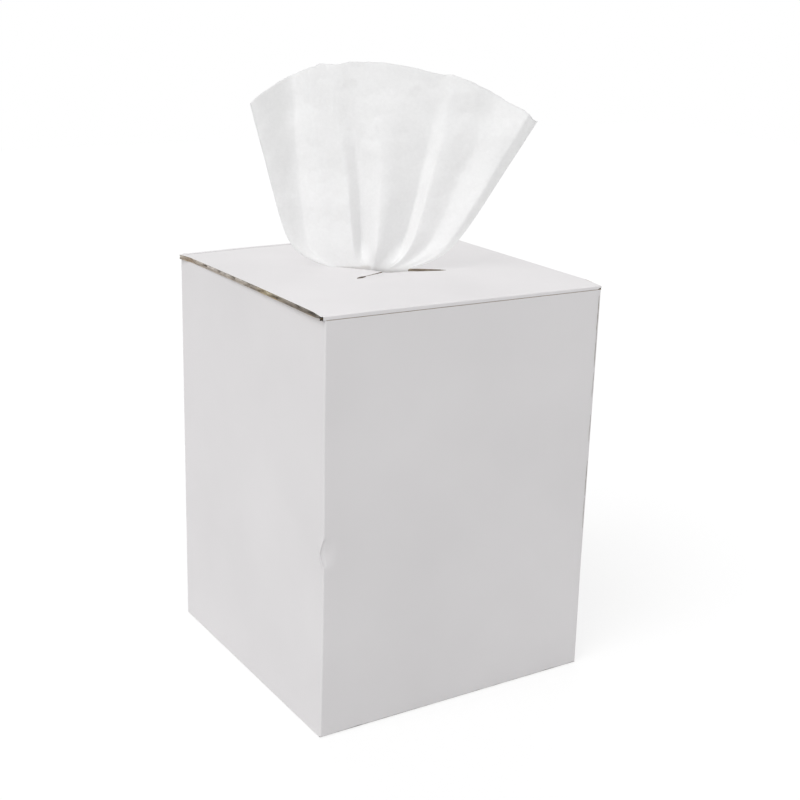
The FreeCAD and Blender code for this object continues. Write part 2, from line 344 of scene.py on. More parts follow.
def crushed_edge_tone_and_shade(tree, place, fibre):
    """Colours of the crushed edge from its front to its back, darker and paler with the fibre: its own
    tones, with painted shade at the front end, in the fibre's low places and on its lower side.
    """
    split = add(tree, "ShaderNodeSeparateXYZ", links={"Vector": place.outputs["Object"]})
    share = add(tree, "ShaderNodeMapRange", {"From Min": FRONT, "From Max": BACK},
                {"Value": split.outputs["Y"]})
    # the edge's own grey and brown tones along its length; the near-black stop at the very front is
    # painted shade for the hollow at the fold's open end, and the darker front stops are painted shade
    # too
    front_to_back_tone_and_shade = ramp(tree, share.outputs["Result"],
                ((0.0, "24211F"), (0.02, "8E8880"), (0.20, "A69D92"), (0.29, "BCB3A1"), (0.36, "DACDAE"),
                 (0.43, "B4AA9E"), (0.50, "D2CAC0"), (0.62, "D8D0C6"), (0.75, "DCD4CC"),
                 (0.86, "D6CCC0"), (0.93, "CCBAA6"), (1.0, "D0CAC0")))
    # darkens the fibre's low places at random: painted shade in its hollows
    depth = ramp(tree, fibre.outputs["Fac"], ((0.30, "909090"), (0.50, "E6E6E6"), (0.72, "FFFFFF")))
    run = add(tree, "ShaderNodeSeparateXYZ", links={"Vector": place.outputs["UV"]})
    level = maths(tree, "DIVIDE", run.outputs["Y"], BOARD)
    frayed = maths(tree, "MULTIPLY_ADD", fibre.outputs["Fac"], 0.5, -0.25)
    down = maths(tree, "ADD", level, frayed)
    # painted shade: darker towards the lower side of the edge
    lower_side_shade = ramp(tree, down, ((0.0, "FFFFFF"), (0.45, "FAFAFA"), (0.66, "D4D0CC"), (0.86, "C2BEBA"),
                             (1.0, "DCD8D4")))
    return multiplied(tree, multiplied(tree, front_to_back_tone_and_shade, depth), lower_side_shade)


def open_web(tree, surface):
    """Lets most of the lamps' light straight through the holes between the fibres, which are too
    small to see, so that the cloth's own shadow stays pale."""
    path = add(tree, "ShaderNodeLightPath")
    share = maths(tree, "MULTIPLY", path.outputs["Is Shadow Ray"], 0.85)
    clear = add(tree, "ShaderNodeBsdfTransparent")
    mixed = add(tree, "ShaderNodeMixShader",
                links={"Fac": share, 1: surface, 2: clear.outputs[0]})
    return mixed.outputs[0]


def spunlace_cloth(name, rings=False):
    """Spunlaced wipe cloth, matt and fibrous: soft white that lets some light through."""
    material, tree = new_material(name)
    place = add(tree, "ShaderNodeTexCoord")
    fibre = cloudy(tree, place.outputs["Object"], 420.0, 5.0, 0.6)
    tint = ramp(tree, fibre.outputs["Fac"], ((0.3, "EFEFEF"), (0.7, "F3F3F3")))
    bump = add(tree, "ShaderNodeBump", {"Strength": 0.12, "Distance": 0.12 * MM},
               {"Height": fibre.outputs["Fac"]})
    shader = add(tree, "ShaderNodeBsdfPrincipled",
                 {"IOR": 1.46, "Roughness": 0.95, "Specular IOR Level": 0.15},
                 {"Base Color": tint, "Normal": bump.outputs["Normal"]})
    through = add(tree, "ShaderNodeBsdfTranslucent", links={"Color": tint})
    mixed = add(tree, "ShaderNodeMixShader", {"Fac": 0.0 if rings else 0.38},
                {1: shader.outputs[0], 2: through.outputs[0]})
    surface = mixed.outputs[0] if rings else open_web(tree, mixed.outputs[0])
    show(tree, surface)
    return material


# ---- carton -------------------------------------------------------------------------------------
CORNER_STEPS = 6
TAB_WIDTH = 32 * MM
RAW_SETBACK = 0.8 * MM


def arc(centre, radius, start, end, steps=CORNER_STEPS):
    angles = np.radians(np.linspace(start, end, steps + 1))
    return [(centre[0] + radius * math.cos(a), centre[1] + radius * math.sin(a)) for a in angles]


def stretch_between(a, b, spacing):
    """Points from a to b, both left out, no further apart than spacing."""
    count = max(int(math.dist(a, b) / spacing), 1)
    return [(a[0] + (b[0] - a[0]) * i / count, a[1] + (b[1] - a[1]) * i / count)
            for i in range(1, count)]


def blank_route(inset=0.0, radius=CORNER):
    """One layer of the walls seen from above, as the blank is folded: the tab inside the right
    wall, the back, left and front walls, and the right wall to its cut edge."""
    fold_x = RIGHT - BOARD - 0.05 * MM - inset
    left, right, front, back = LEFT + inset, RIGHT - inset, FRONT + inset, BACK - inset
    near = 12 * MM
    bends = [
        [(fold_x, BACK - TAB_WIDTH)],
        arc((fold_x - radius, back - radius), radius, 0, 90),
        arc((left + radius, back - radius), radius, 90, 180),
        [(left, front + near)],
        arc((left + radius, front + radius), radius, 180, 270),
        [(left + near, front)],
        arc((right - radius, front + radius), radius, 270, 360),
        [(right, BACK - RAW_SETBACK)],
    ]
    route = list(bends[0])
    for bend in bends[1:]:
        spacing = 0.7 * MM if math.dist(route[-1], bend[0]) < near else 4 * MM
        route += stretch_between(route[-1], bend[0], spacing) + bend
    return np.array(route)


def run_along(route):
    """Distance of each point from the start of the route."""
    return np.concatenate([[0], np.cumsum(np.linalg.norm(np.diff(route, axis=0), axis=1))])


def inward(route):
    """Unit vectors that point into the carton, square to the route."""
    step = np.gradient(route, axis=0)
    step /= np.linalg.norm(step, axis=1)[:, None]
    return np.stack([-step[:, 1], step[:, 0]], axis=1)


def wall_bow(x, y, z):
    """How far a wall bellies out, in metres: a slow swell, different on each wall."""
    across = np.where(np.abs(y - FRONT) < BOARD * 2, x / RIGHT, y / BACK)
    height = z / WALL_TOP
    belly = (1 - across ** 2) * np.sin(math.pi * height)
    return belly * np.where(x < LEFT + BOARD, 0.1, 1.1) * MM


# the crushed spot on the front left corner: its height, half its length and its depth
DENT_AT, DENT_REACH, DENT_DEPTH = 140 * MM, 14 * MM, 2.0 * MM
DENT_LOW, DENT_HIGH = DENT_AT - DENT_REACH, DENT_AT + DENT_REACH


def dent(x, y, z):
    """How far the crushed corner moves, along X and Y: back, and bulging out to the left."""
    depth = DENT_DEPTH * smooth(1 - np.abs(z - DENT_AT) / DENT_REACH)
    on_front = smooth(1 - (x - LEFT) / (11 * MM))
    on_left = np.clip(1 - (y - FRONT) / (7 * MM), 0, 1)
    pinch = np.exp(-((x - LEFT - 1.6 * MM) / (0.8 * MM)) ** 2) * (y < FRONT + CORNER)
    pinch *= depth > 0.5 * MM
    return -depth * on_front * on_left ** 2, depth * on_front * on_left + 0.58 * MM * pinch


def corner_lean(x, y, z):
    """How far the front left corner leans to the right below the middle of its height, and how far
    the foot of the right wall stands out."""
    near = smooth(1 - (x - LEFT) / (45 * MM)) * smooth(1 - (y - FRONT) / (70 * MM))
    foot = smooth((x - 70 * MM) / (40 * MM)) * smooth(1 - z / (90 * MM))
    return 0.8 * MM * (near * np.sin(np.clip(z / (230 * MM), 0, 1) * math.pi) + foot)


def wall_levels():
    return np.concatenate([
        np.linspace(0, DENT_LOW, 20, endpoint=False),
        np.linspace(DENT_LOW, DENT_HIGH, 26, endpoint=False),
        np.linspace(DENT_HIGH, WALL_TOP, 24),
    ])


def wall_ends(route, inset):
    """The lowest and the highest point of the walls at each place of the route."""
    x, y = route[:, 0], route[:, 1]
    side = np.clip((np.abs(x) + inset - (RIGHT - CORNER)) / CORNER, 0, 1)
    end = np.clip((np.abs(y) + inset - (BACK - CORNER)) / CORNER, 0, 1)
    share = end / np.maximum(side + end, 0.01)
    on_end = np.where(y < 0, front_wall_rise(x), 0)
    on_side = np.where(x < 0, left_wall_rise(y), 0)
    on_side -= FOLD * smooth((y - FRONT - 5 * MM) / (3 * MM))
    tab = run_along(route) < TAB_WIDTH - CORNER
    top = np.where(tab, WALL_TOP - 11 * MM, WALL_TOP + share * on_end + (1 - share) * on_side)
    low = np.where(tab, 14 * MM, 0.5 * MM * share)
    return low, top


def wall_layer(inset, radius):
    """One paper of the walls, inset from the outside."""
    route = blank_route(inset, radius)
    into = inward(route)
    low, top = wall_ends(route, inset)
    rows = []
    for level in wall_levels():
        z = low + (top - low) * level / WALL_TOP
        rows.append(pressed(route[:, 0], route[:, 1], z, into, inset))
    return rows


def pressed(x, y, z, into, inset):
    """Points of a wall layer where the bow, the lean and the crushed corner have moved them."""
    bow = wall_bow(x, y, z)
    push_x, push_y = dent(x - inset, y - inset, z)
    lean = corner_lean(x, y, z)
    return np.stack([x - into[:, 0] * bow + push_x + lean, y - into[:, 1] * bow + push_y, z], axis=1)


def wall_fluting():
    """The fluted paper between the liners, a wave that runs round the walls."""
    inset = BOARD / 2
    route = blank_route(inset, CORNER)
    into = inward(route)
    length = run_along(route)
    even = np.arange(0, length[-1], FLUTE_PITCH / 12)
    x, y, nx, ny, top = (np.interp(even, length, value) for value in
                         (route[:, 0], route[:, 1], into[:, 0], into[:, 1],
                          wall_ends(route, inset)[1]))
    swing = (BOARD - 2 * LINER - 0.3 * MM) / 2 * np.sin(2 * math.pi * even / FLUTE_PITCH)
    normal = np.stack([nx, ny], axis=1)
    rows = []
    for z in (15 * MM, DENT_LOW, (DENT_LOW + DENT_HIGH) / 2, DENT_HIGH, top - 0.5 * MM):
        height = np.broadcast_to(z, even.shape)
        rows.append(pressed(x + nx * swing, y + ny * swing, height, normal, inset))
    return rows


def carton_walls(white, kraft, fluting):
    outer = Shape()
    outer.sheet(wall_layer(0.0, CORNER), 0, flip=True)
    outside = outer.build("wall_top_liner", [white, kraft], "carton")
    thicken(outside, LINER, offset=1, rim=1)
    inner = Shape()
    inner.sheet(wall_layer(BOARD - LINER, 0.6 * MM), 0, flip=True)
    inside = inner.build("wall_inner_liner", [kraft], "carton")
    thicken(inside, LINER, offset=1)
    wave = Shape()
    wave.sheet(wall_fluting(), 0)
    web = wave.build("wall_fluting", [fluting], "carton", weld=False)
    thicken(web, 0.3 * MM, offset=0)
    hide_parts("carton")


# The liner has cracked along the front right corner, in a row of slivers down from its top.
CRACKS, CRACKS_TOP, CRACK_STEP = 6, 300 * MM, 32 * MM


def cracked_corner(edge):
    """Slivers of bare board where the liner has split along the front right corner."""
    shape = Shape()
    x, y = RIGHT - 1.7 * MM, FRONT - 0.1 * MM
    for i in range(CRACKS):
        uneven = noise.noise(Vector((i * 1.7, 0.4, 3.3)))
        high = CRACKS_TOP - CRACK_STEP * (i + 0.3 * uneven)
        length = CRACK_STEP * (0.75 + 0.5 * uneven)
        width = (0.5 + 0.4 * uneven) * MM
        rows = []
        for share in np.linspace(0, 1, max(int(length / (1.5 * MM)), 4)):
            z = high - length * share
            taper = math.sin(math.pi * min(max(share, 0.06), 0.94)) ** 0.4
            half = width / 2 * taper * (1 + 0.6 * noise.noise(Vector((z / MM * 0.4, x * 50, 2.0))))
            middle = x + 0.25 * MM * noise.noise(Vector((z / MM * 0.15, 0.5, 7)))
            rows.append([(middle - half, y, z), (middle + half, y, z)])
        shape.sheet(rows, 0)
    shape.build("corner_cracks", [edge], "carton", weld=False)


def bent_profile(points, radius):
    """A polyline with each inner corner rounded by a short arc."""
    points = [Vector(p) for p in points]
    route = [points[0]]
    for before, corner, after in zip(points, points[1:], points[2:]):
        a = (before - corner).normalized() * radius
        b = (after - corner).normalized() * radius
        for step in range(CORNER_STEPS + 1):
            t = step / CORNER_STEPS
            route.append(corner + a * (1 - t) ** 2 + b * t ** 2)
    return route + [points[-1]]


def flap_board(name, profile, inner_profile, across, white, kraft, edge, body, place):
    """A folded flap of board: its outside and inside papers follow two profiles, and the cut
    board closes its edges. across gives the two ends of the flap's width, and place turns a point
    of a profile and a place across into a point of the flap."""
    shape = Shape()
    sheets = []
    for line in (profile, inner_profile):
        spacing = max(int(abs(across[1] - across[0]) / (8 * MM)), 2)
        ends = np.linspace(across[0], across[1], spacing)
        sheets.append([[place(p, e) for e in ends] for p in line])
    shape.sheet(sheets[0], 0)
    shape.sheet(sheets[1], 1, flip=True)
    for column in (0, -1):
        rim = [[tuple(a[column]) for a in sheets[0]], [tuple(a[column]) for a in sheets[1]]]
        shape.sheet(rim, 2, flip=column == 0)
    shape.sheet([sheets[0][-1], sheets[1][-1]], 2)
    shape.build(name, [white, kraft, edge], body)


def flap_rise(x, y):
    """How far the left dust flap follows the bowed lid above it."""
    lid = left_edge_rise(y) * smooth(1 - (x - LEFT) / (60 * MM))
    edge = (left_wall_rise(y) - left_edge_rise(y)) * smooth(1 - (x - LEFT) / (6 * MM))
    return lid + edge


def dust_flap(side, white, kraft, edge):
    """The flap that folds in from the top of a side wall."""
    wall = side * RIGHT
    end = side * (RIGHT - 65 * MM)
    low, top = WALL_TOP - FOLD, WALL_TOP
    inset = side * BOARD
    level = [wall - side * d * MM for d in (4, 8, 14, 24, 36, 48)]
    outside = bent_profile([(wall, low), (wall, top), (level[0], top)], FOLD)
    outside += [Vector((x, top)) for x in level[1:]] + [Vector((end, top))]
    under = top - BOARD
    inside = bent_profile([(wall - inset, low - BOARD), (wall - inset, under),
                           (level[0], under)], 0.4 * MM)
    inside += [Vector((x, under)) for x in level[1:]] + [Vector((end, under))]
    across = (FRONT + BOARD + 6 * MM, BACK - BOARD - 3 * MM)
    if side > 0:
        across = across[::-1]

    def place(p, y):
        rise = float(flap_rise(p[0], y)) if side < 0 else 0.0
        return (p[0], y, p[1] + rise)

    name = "right_dust_flap" if side > 0 else "left_dust_flap"
    flap_board(name, outside, inside, across, white, kraft, edge, "carton", place)


def slab(shape, low, high):
    """A flat board: white below, kraft above, cut board round the edges."""
    x0, y0, z0 = low
    x1, y1, z1 = high
    shape.sheet([[(x0, y1, z0), (x1, y1, z0)], [(x0, y0, z0), (x1, y0, z0)]], 0)
    shape.sheet([[(x0, y0, z1), (x1, y0, z1)], [(x0, y1, z1), (x1, y1, z1)]], 1)
    ring = [(x0, y0), (x1, y0), (x1, y1), (x0, y1)]
    shape.sheet([[(x, y, z0) for x, y in ring], [(x, y, z1) for x, y in ring]], 2, closed=True)


def bottom(white, kraft, edge):
    """Outer flaps from the side walls meet under the inner flaps from the front and back."""
    shape = Shape()
    seam = 0.25 * MM
    inner_x, inner_y = RIGHT - BOARD, BACK - BOARD
    for side in (-1, 1):
        x0, x1 = sorted((side * seam, side * (inner_x + BOARD / 2)))
        slab(shape, (x0, -inner_y + GAP, 0), (x1, inner_y - GAP, BOARD))
        y0, y1 = sorted((side * seam, side * (inner_y + BOARD / 2)))
        slab(shape, (-inner_x, y0, BOARD), (inner_x, y1, 2 * BOARD))
    shape.build("bottom_flaps", [white, kraft, edge], "carton")


# ---- lid ----------------------------------------------------------------------------------------
# each arm of the slit: direction in degrees from X, length, and how wide it stands open in mm at
# shares of its length from the slit's centre
SLIT_ARMS = (
    (-33.0, 47 * MM, ((0, 4.5), (0.28, 4.2), (0.34, 0.8), (0.44, 0.6), (0.54, 3.4), (0.9, 3.6), (1, 0))),
    (32.5, 44 * MM, ((0, 0.8), (0.9, 0.5), (1, 0))),
    (147.0, 40 * MM, ((0, 4.5), (0.14, 4.0), (0.22, 0.6), (0.9, 0.3), (1, 0))),
    (212.5, 44 * MM, ((0, 0.4), (0.68, 0.3), (0.78, 3.4), (0.94, 3.0), (1, 0))),
)
# how far the point of each tip is bent up: right, back, left, front
TIP_RISE = (0.3 * MM, 2.0 * MM, -2.5 * MM, -3.2 * MM)
SLIT_AT = (-0.8 * MM, -0.4 * MM)     # where the arms of the slit meet
TIP_STEPS = 18
LID_STEPS = 18


def lid_left(y):
    """The lid sits a little askew: it stands out past the left wall, most at the front."""
    back_end = smooth((y - (BACK - 12 * MM)) / (8 * MM))
    return LEFT - 0.1 * MM - 2.7 * MM * (BACK - y) / (BACK - FRONT) - 2.2 * MM * back_end


def lid_rise(x, y):
    """How far the lid's top stands above the flat: slow waves, a bowed left edge, a low front."""
    waves = np.vectorize(lambda a, b: noise.noise(Vector((a * 16, b * 16, 3.7))))(x, y)
    calm = smooth((RIGHT - np.abs(x)) / (25 * MM)) * smooth((BACK - np.abs(y)) / (25 * MM))
    near_left = smooth(1 - (x - LEFT) / (60 * MM))
    near_front = smooth(1 - (y - FRONT) / (20 * MM)) * (1 - near_left)
    front_edge = between_ends(FRONT_EDGE_RISE, left_to_right(x))
    return 0.5 * MM * waves * calm + left_edge_rise(y) * near_left + front_edge * near_front


def settled(x, y, level, bend=0.0):
    """The lid's point over a flat place. level runs from 0 on top to 1 underneath."""
    reach = np.hypot(x, y)
    fade = smooth(1 - (reach - 50 * MM) / (40 * MM))
    skew = (lid_left(y) - LID_LEFT) * smooth((-x - 45 * MM) / (70 * MM))
    depth = BOARD + (left_edge_depth(y) - BOARD) * smooth(1 - (x - LID_LEFT) / (8 * MM))
    z = LID_TOP + lid_rise(x, y) + bend - depth * level
    return np.stack([x + SLIT_AT[0] * fade + skew, y + SLIT_AT[1] * fade, z], axis=-1)


def gape(arm, share):
    """Half the width of a cut, at a share of its length from the slit's centre."""
    openings = arm[2]
    return float(along(openings, share)) / 2 * MM


def on_ray(angle, length):
    return np.array([length * math.cos(math.radians(angle)), length * math.sin(math.radians(angle))])


def to_line(angle, a, b):
    """Distance along a ray from the slit's centre to the line between two points."""
    d = on_ray(angle, 1.0)
    along = b - a
    return (a[0] * along[1] - a[1] * along[0]) / (d[0] * along[1] - d[1] * along[0])


def to_border(angle):
    """Distance along a ray from the slit's centre to the edge of the lid's flat."""
    d = on_ray(angle, 1.0)
    limits = []
    if abs(d[0]) > 1e-9:
        limits.append((RIGHT if d[0] > 0 else LID_LEFT) / d[0])
    if abs(d[1]) > 1e-9:
        limits.append((BACK - CREASE if d[1] > 0 else FRONT + FOLD) / d[1])
    return min(limits)


def border_angles(first, last, count):
    """Angles across one part of the lid, with a ray through each of the lid's corners."""
    angles = list(np.linspace(first, last, count))
    for x in (LID_LEFT, RIGHT):
        for y in (FRONT + FOLD, BACK - CREASE):
            corner = math.degrees(math.atan2(y, x)) % 360
            for turn in (corner, corner - 360, corner + 360):
                if first < turn < last:
                    angles.append(turn)
    return sorted(angles)


def lid_sector(shapes, index):
    """The lid between two arms of the slit: the tip up to its fold line, and the flat beyond."""
    first, second = SLIT_ARMS[index], SLIT_ARMS[(index + 1) % 4]
    start, length_a = first[:2]
    end, length_b = second[:2]
    if end < start:
        end += 360
    arm_a, arm_b = on_ray(start, length_a), on_ray(end, length_b)
    angles = border_angles(start, end, 36)
    flat, bends = [], []
    for step in range(TIP_STEPS + 1):
        share = 0.06 + 0.94 * step / TIP_STEPS
        row = []
        for angle in angles:
            t = (angle - start) / (end - start)
            point = on_ray(angle, to_line(angle, arm_a, arm_b) * share)
            push_a = on_ray(start + 90, gape(first, share)) * (1 - t) ** 2
            push_b = on_ray(end - 90, gape(second, share)) * t ** 2
            row.append(point + push_a + push_b)
        flat.append(row)
        bends.append([TIP_RISE[index] * (1 - share) ** 1.25] * len(angles))
    for step in range(1, LID_STEPS + 1):
        share = 1 - (1 - step / LID_STEPS) ** 1.5
        inner = [to_line(angle, arm_a, arm_b) for angle in angles]
        flat.append([on_ray(angle, a + (to_border(angle) - a) * share)
                     for angle, a in zip(angles, inner)])
        bends.append([0.0] * len(angles))
    flat = np.array(flat)
    upper = settled(flat[..., 0], flat[..., 1], 0.0, np.array(bends))
    lower = settled(flat[..., 0], flat[..., 1], 1.0, np.array(bends))
    shapes.sheet(upper, 0)
    shapes.sheet(lower, 1, flip=True)
    for column_at in (0, -1):
        shapes.sheet([upper[:TIP_STEPS + 1, column_at], lower[:TIP_STEPS + 1, column_at]], 2,
                     flip=column_at == -1)
    shapes.sheet([upper[0], lower[0]], 2)


# Crushed places along the lid's left edge: how many, how far apart, how long and how deep.
HOLLOWS, HOLLOW_STEP, HOLLOW_LENGTH, HOLLOW_DEPTH = 9, 25 * MM, 4 * MM, 2.2


def edge_hollow(y, level):
    """How deep the fluting at the lid's left edge is crushed, in mm."""
    depth = 0.0
    for i in range(HOLLOWS):
        uneven = noise.noise(Vector((i * 2.3, 5.1, 0.7)))
        place = FRONT + HOLLOW_STEP * (i + 0.5 + 0.4 * uneven)
        length = HOLLOW_LENGTH * (1 + uneven)
        far = ((y - place) / length) ** 2 + ((level - 0.6 - 0.3 * uneven) / 0.28) ** 2
        depth += HOLLOW_DEPTH * math.exp(-far)
    return depth


def edge_inset(x, y, level):
    """How far the fluting at a cut side edge of the lid stands back from the two papers."""
    torn = noise.fractal(Vector((y * 170, level * 2.4, x * 9)), 0.6, 2.0, 4)
    inset = math.sin(math.pi * level) ** 0.6 * (0.5 + 0.5 * torn)
    if x < 0:
        inset += edge_hollow(y, level) * (0.8 + 0.5 * torn)
    return max(inset, 0.0) * MM


def fold_depth(y):
    """How far the fold at the lid's front edge drops below the flat top."""
    into = np.clip(FRONT + FOLD - y, 0, FOLD)
    return FOLD - np.sqrt(FOLD ** 2 - into ** 2)


def lid_edge(shape, x, out, finish, start):
    """A cut side edge of the lid: the fluting, crushed and torn, a little inside the papers."""
    places = np.concatenate([np.linspace(start, FRONT + 4.5 * MM, 12),
                             np.linspace(FRONT + 5 * MM, BACK - CREASE, 300)])
    top = settled(np.full(len(places), x), places, 0.0)
    low = settled(np.full(len(places), x), places, 1.0)
    top[:, 2] -= fold_depth(places)
    rows = []
    for level in np.linspace(0, 1, 13):
        row = top * (1 - level) + low * level
        for point in row:
            point[0] -= out * edge_inset(x, point[1], level)
        rows.append(row)
    shape.sheet(rows, finish, flip=out < 0, down=np.linspace(0, BOARD, 13))


FOLD_END = (1.3 * MM, 2.2 * MM)


def fold_end(shape):
    """The open left end of the fold at the lid's front: a round hollow at the corner."""
    corner = settled(LID_LEFT, FRONT + FOLD, 0.0)
    high = corner[2] - 0.1 * MM
    low = WALL_TOP + GAP + float(front_wall_rise(LEFT)) - 0.3 * MM
    inwards = np.array([1, 1, 0]) / math.sqrt(2)
    rows = []
    for level in np.linspace(0, 1, 17):
        row = []
        for share in np.linspace(0, 1, 17):
            z = high + (low - high) * level
            point = np.array([corner[0] + FOLD_END[0] * share, FRONT + FOLD_END[1] * (1 - share), z])
            away = math.hypot((share - 0.5) * math.hypot(*FOLD_END), z - (high + low) / 2)
            row.append(point + inwards * 5 * MM * float(smooth((1.45 * MM - away) / (0.3 * MM))))
        rows.append(row)
    # finish 3 is the crushed board, near black at the front end: painted shade in this hollow
    shape.sheet(rows, 3, flip=True)


def paper_sliver(shape):
    """A torn sliver of the lower paper that sticks out of the lid's left edge."""
    x, z = float(lid_left(-40 * MM)), LID_UNDER + 1.2 * MM
    shape.sheet([[(x + 0.6 * MM, -46 * MM, z + 0.5 * MM), (x + 0.6 * MM, -41 * MM, z + 0.3 * MM)],
                 [(x - 0.5 * MM, -31 * MM, z - 0.4 * MM), (x - 0.3 * MM, -30.5 * MM, z - 0.4 * MM)]], 3)


def front_fold(shape):
    """The fold along the lid's front edge and the face below it, down to the front wall."""
    places = np.concatenate([np.linspace(LID_LEFT + FOLD_END[0], RIGHT - 4 * MM, 80),
                             np.linspace(RIGHT - 3.5 * MM, RIGHT, 8)])
    start = settled(places, np.full(len(places), FRONT + FOLD), 0.0)
    lifted_end = 1.1 * MM * smooth((places - RIGHT + 3 * MM) / (2 * MM))
    seam = WALL_TOP + 0.6 * GAP + front_wall_rise(places) + lifted_end
    rows = []
    for step in range(7):
        turn = math.radians(90 + 15 * step)
        row = start.copy()
        row[:, 1] = FRONT + FOLD + FOLD * math.cos(turn)
        row[:, 2] += FOLD * math.sin(turn) - FOLD
        rows.append(row)
    for y, lift in ((FRONT, 0.3 * MM), (FRONT + 0.3 * MM, 0.0), (FRONT + BOARD + 1.5 * MM, 0.0)):
        row = start.copy()
        row[:, 1] = y
        row[:, 2] = seam + lift
        rows.append(row)
    shape.sheet(rows, 0)


def tuck_flap(white, kraft, edge):
    """The flap inside the front wall, leaning back towards its rounded end."""
    reach = HINGE.y - (FRONT + BOARD + GAP)
    low = HINGE.z - TUCK_END
    y_end = HINGE.y - math.sqrt(reach ** 2 - low ** 2)
    top = Vector((FRONT + BOARD + GAP, LID_UNDER))
    end = Vector((y_end, TUCK_END))
    left, right = LEFT + BOARD + 2 * MM, RIGHT - 2 * BOARD - 2 * MM
    corner = 14 * MM
    rows = []
    for step in range(13):
        t = step / 12
        low_z = (1 - t) * (top - end).length
        narrow = 0.0
        if low_z < corner:
            narrow = corner - math.sqrt(corner ** 2 - (corner - low_z) ** 2)
        y, z = top.lerp(end, t)
        rows.append([(left + narrow + (right - left - 2 * narrow) * i / 20, y, z)
                     for i in range(21)])
    rows = np.array(rows)
    back = rows + np.array([0, BOARD, 0])
    shape = Shape()
    shape.sheet(rows, 0)
    shape.sheet(back, 1, flip=True)
    shape.sheet([rows[:, 0], back[:, 0]], 2)
    shape.sheet([rows[:, -1], back[:, -1]], 2, flip=True)
    shape.sheet([rows[-1], back[-1]], 2)
    shape.build("tuck_flap", [white, kraft, edge], "lid")


def lid_panel(white, kraft, edge, crushed):
    shape = Shape()
    for index in range(4):
        lid_sector(shape, index)
    front_fold(shape)
    fold_end(shape)
    paper_sliver(shape)
    lid_edge(shape, LID_LEFT, -1, 3, FRONT + FOLD_END[1])
    lid_edge(shape, RIGHT, 1, 2, FRONT + 0.1 * MM)
    panel = shape.build("lid_panel", [white, kraft, edge, crushed], "lid")
    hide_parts("lid")


def lid_crease(white):
    """The crease at the top of the back wall: a strip of paper round the rounded fold."""
    over = 0.12 * MM
    route = [(BACK + over, WALL_TOP - 6 * MM, 0.0), (BACK + over, LID_TOP - CREASE, 0.3)]
    route += [(y, z, 0.3 + 0.7 * step / 8) for step, (y, z) in
              enumerate(arc((BACK - CREASE, LID_TOP - CREASE), CREASE + over, 0, 90, 8))]
    route += [(BACK - 6 * MM, LID_TOP + over, 1.0)]
    places = np.linspace(LEFT + CORNER, RIGHT - CORNER, 41)
    rows = []
    for y, z, share in route:
        rise = lid_rise(places, np.full(len(places), min(y, BACK - CREASE))) * share
        rows.append(np.stack([places, np.full(len(places), y), z + rise], axis=1))
    shape = Shape()
    shape.sheet(rows, 0, flip=True)
    strip = shape.build("crease_outside", [white], None, weld=False)
    thicken(strip, 0.2 * MM, offset=0)
    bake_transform(strip)


# ---- roll ---------------------------------------------------------------------------------------
ROLL_BORE = 38 * MM        # radius
ROLL_TURNS = 56
ROLL_AROUND = 160
TURN_DIP = 0.7 * MM        # between two turns
TURN_UNEVEN = 1.1 * MM


def ring(radius, z):
    """A level circle of points about the roll's axis."""
    angles = [2 * math.pi * i / ROLL_AROUND for i in range(ROLL_AROUND)]
    return [(radius * math.cos(a), radius * math.sin(a), z) for a in angles]


def roll(cloth):
    """The wound roll: a bore, an outside and turns that stand at uneven heights."""
    outside = ROLL_HIGH.x
    shape = Shape()
    top = []
    for step in range(ROLL_TURNS * 2 + 1):
        share = step / (ROLL_TURNS * 2)
        radius = outside - 1.5 * MM - (outside - ROLL_BORE - 3 * MM) * share
        dip = TURN_DIP if step % 2 else 0.0
        row = []
        for i in range(ROLL_AROUND):
            angle = 2 * math.pi * i / ROLL_AROUND
            wind = step / 2 + i / ROLL_AROUND
            uneven = noise.noise(Vector((wind * 0.35, 0.3, 9.1))) * TURN_UNEVEN
            r = radius - 1.8 * MM * i / ROLL_AROUND
            row.append((r * math.cos(angle), r * math.sin(angle), ROLL_HIGH.z - 1.3 * MM + uneven - dip))
        top.append(row)
    side = [ring(outside, z) for z in np.linspace(ROLL_LOW.z, ROLL_HIGH.z - 2.5 * MM, 12)]
    inside = [ring(ROLL_BORE, z) for z in np.linspace(ROLL_HIGH.z - 3 * MM, ROLL_LOW.z, 12)]
    shape.sheet(side + top, 0, closed=True)
    shape.sheet([top[-1]] + inside, 0, closed=True)
    shape.sheet([inside[-1], side[0]], 0, closed=True)
    piece = shape.build("wound_roll", [cloth], "carton", weld=False)
    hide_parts("wipe_roll")


# ---- the pulled wipe ----------------------------------------------------------------------------
# Lengths are mm. Across runs along the main cut, from the left of the slit's centre to the right,
# and a relief is towards the front.
WIPE_TURN = math.radians(-33.0)
CREST_RISE, CREST_SHARE = 150.0, 0.35
LEFT_FALL, RIGHT_FALL = 30.0, 40.0
TORN_RAGGED = 1.5
# an edge of the wipe: its reach in the slit, how far it flares just above, and its slope from there
LEFT_REACH = (40.0, 28.0, 0.25)
RIGHT_REACH = (18.0, 25.0, 0.6)
FLARE_HEIGHT = 8.0
GATHER_HEIGHT = 20.0
TIP_CLEARANCE = 2.0       # folds towards the back start above the raised back tip
LID_DEPTH = BOARD / MM
TAIL_LENGTH, TAIL_HALF_WIDTH, TAIL_PLEAT, TAIL_PLEATS = 42.0, 16.0, 4.0, 12
GATHER_PLEAT, GATHER_TOP = 0.22, 34
CRUMPLE = 1.2
CLOTH = 0.4 * MM
LEAN_LEFT = 0.004         # the fan leans to the left by this share of its height
FAN_STRETCH = 0.996
COLUMNS_A_FOLD, ROWS_UP, ROWS_DOWN = 18, 100, 16
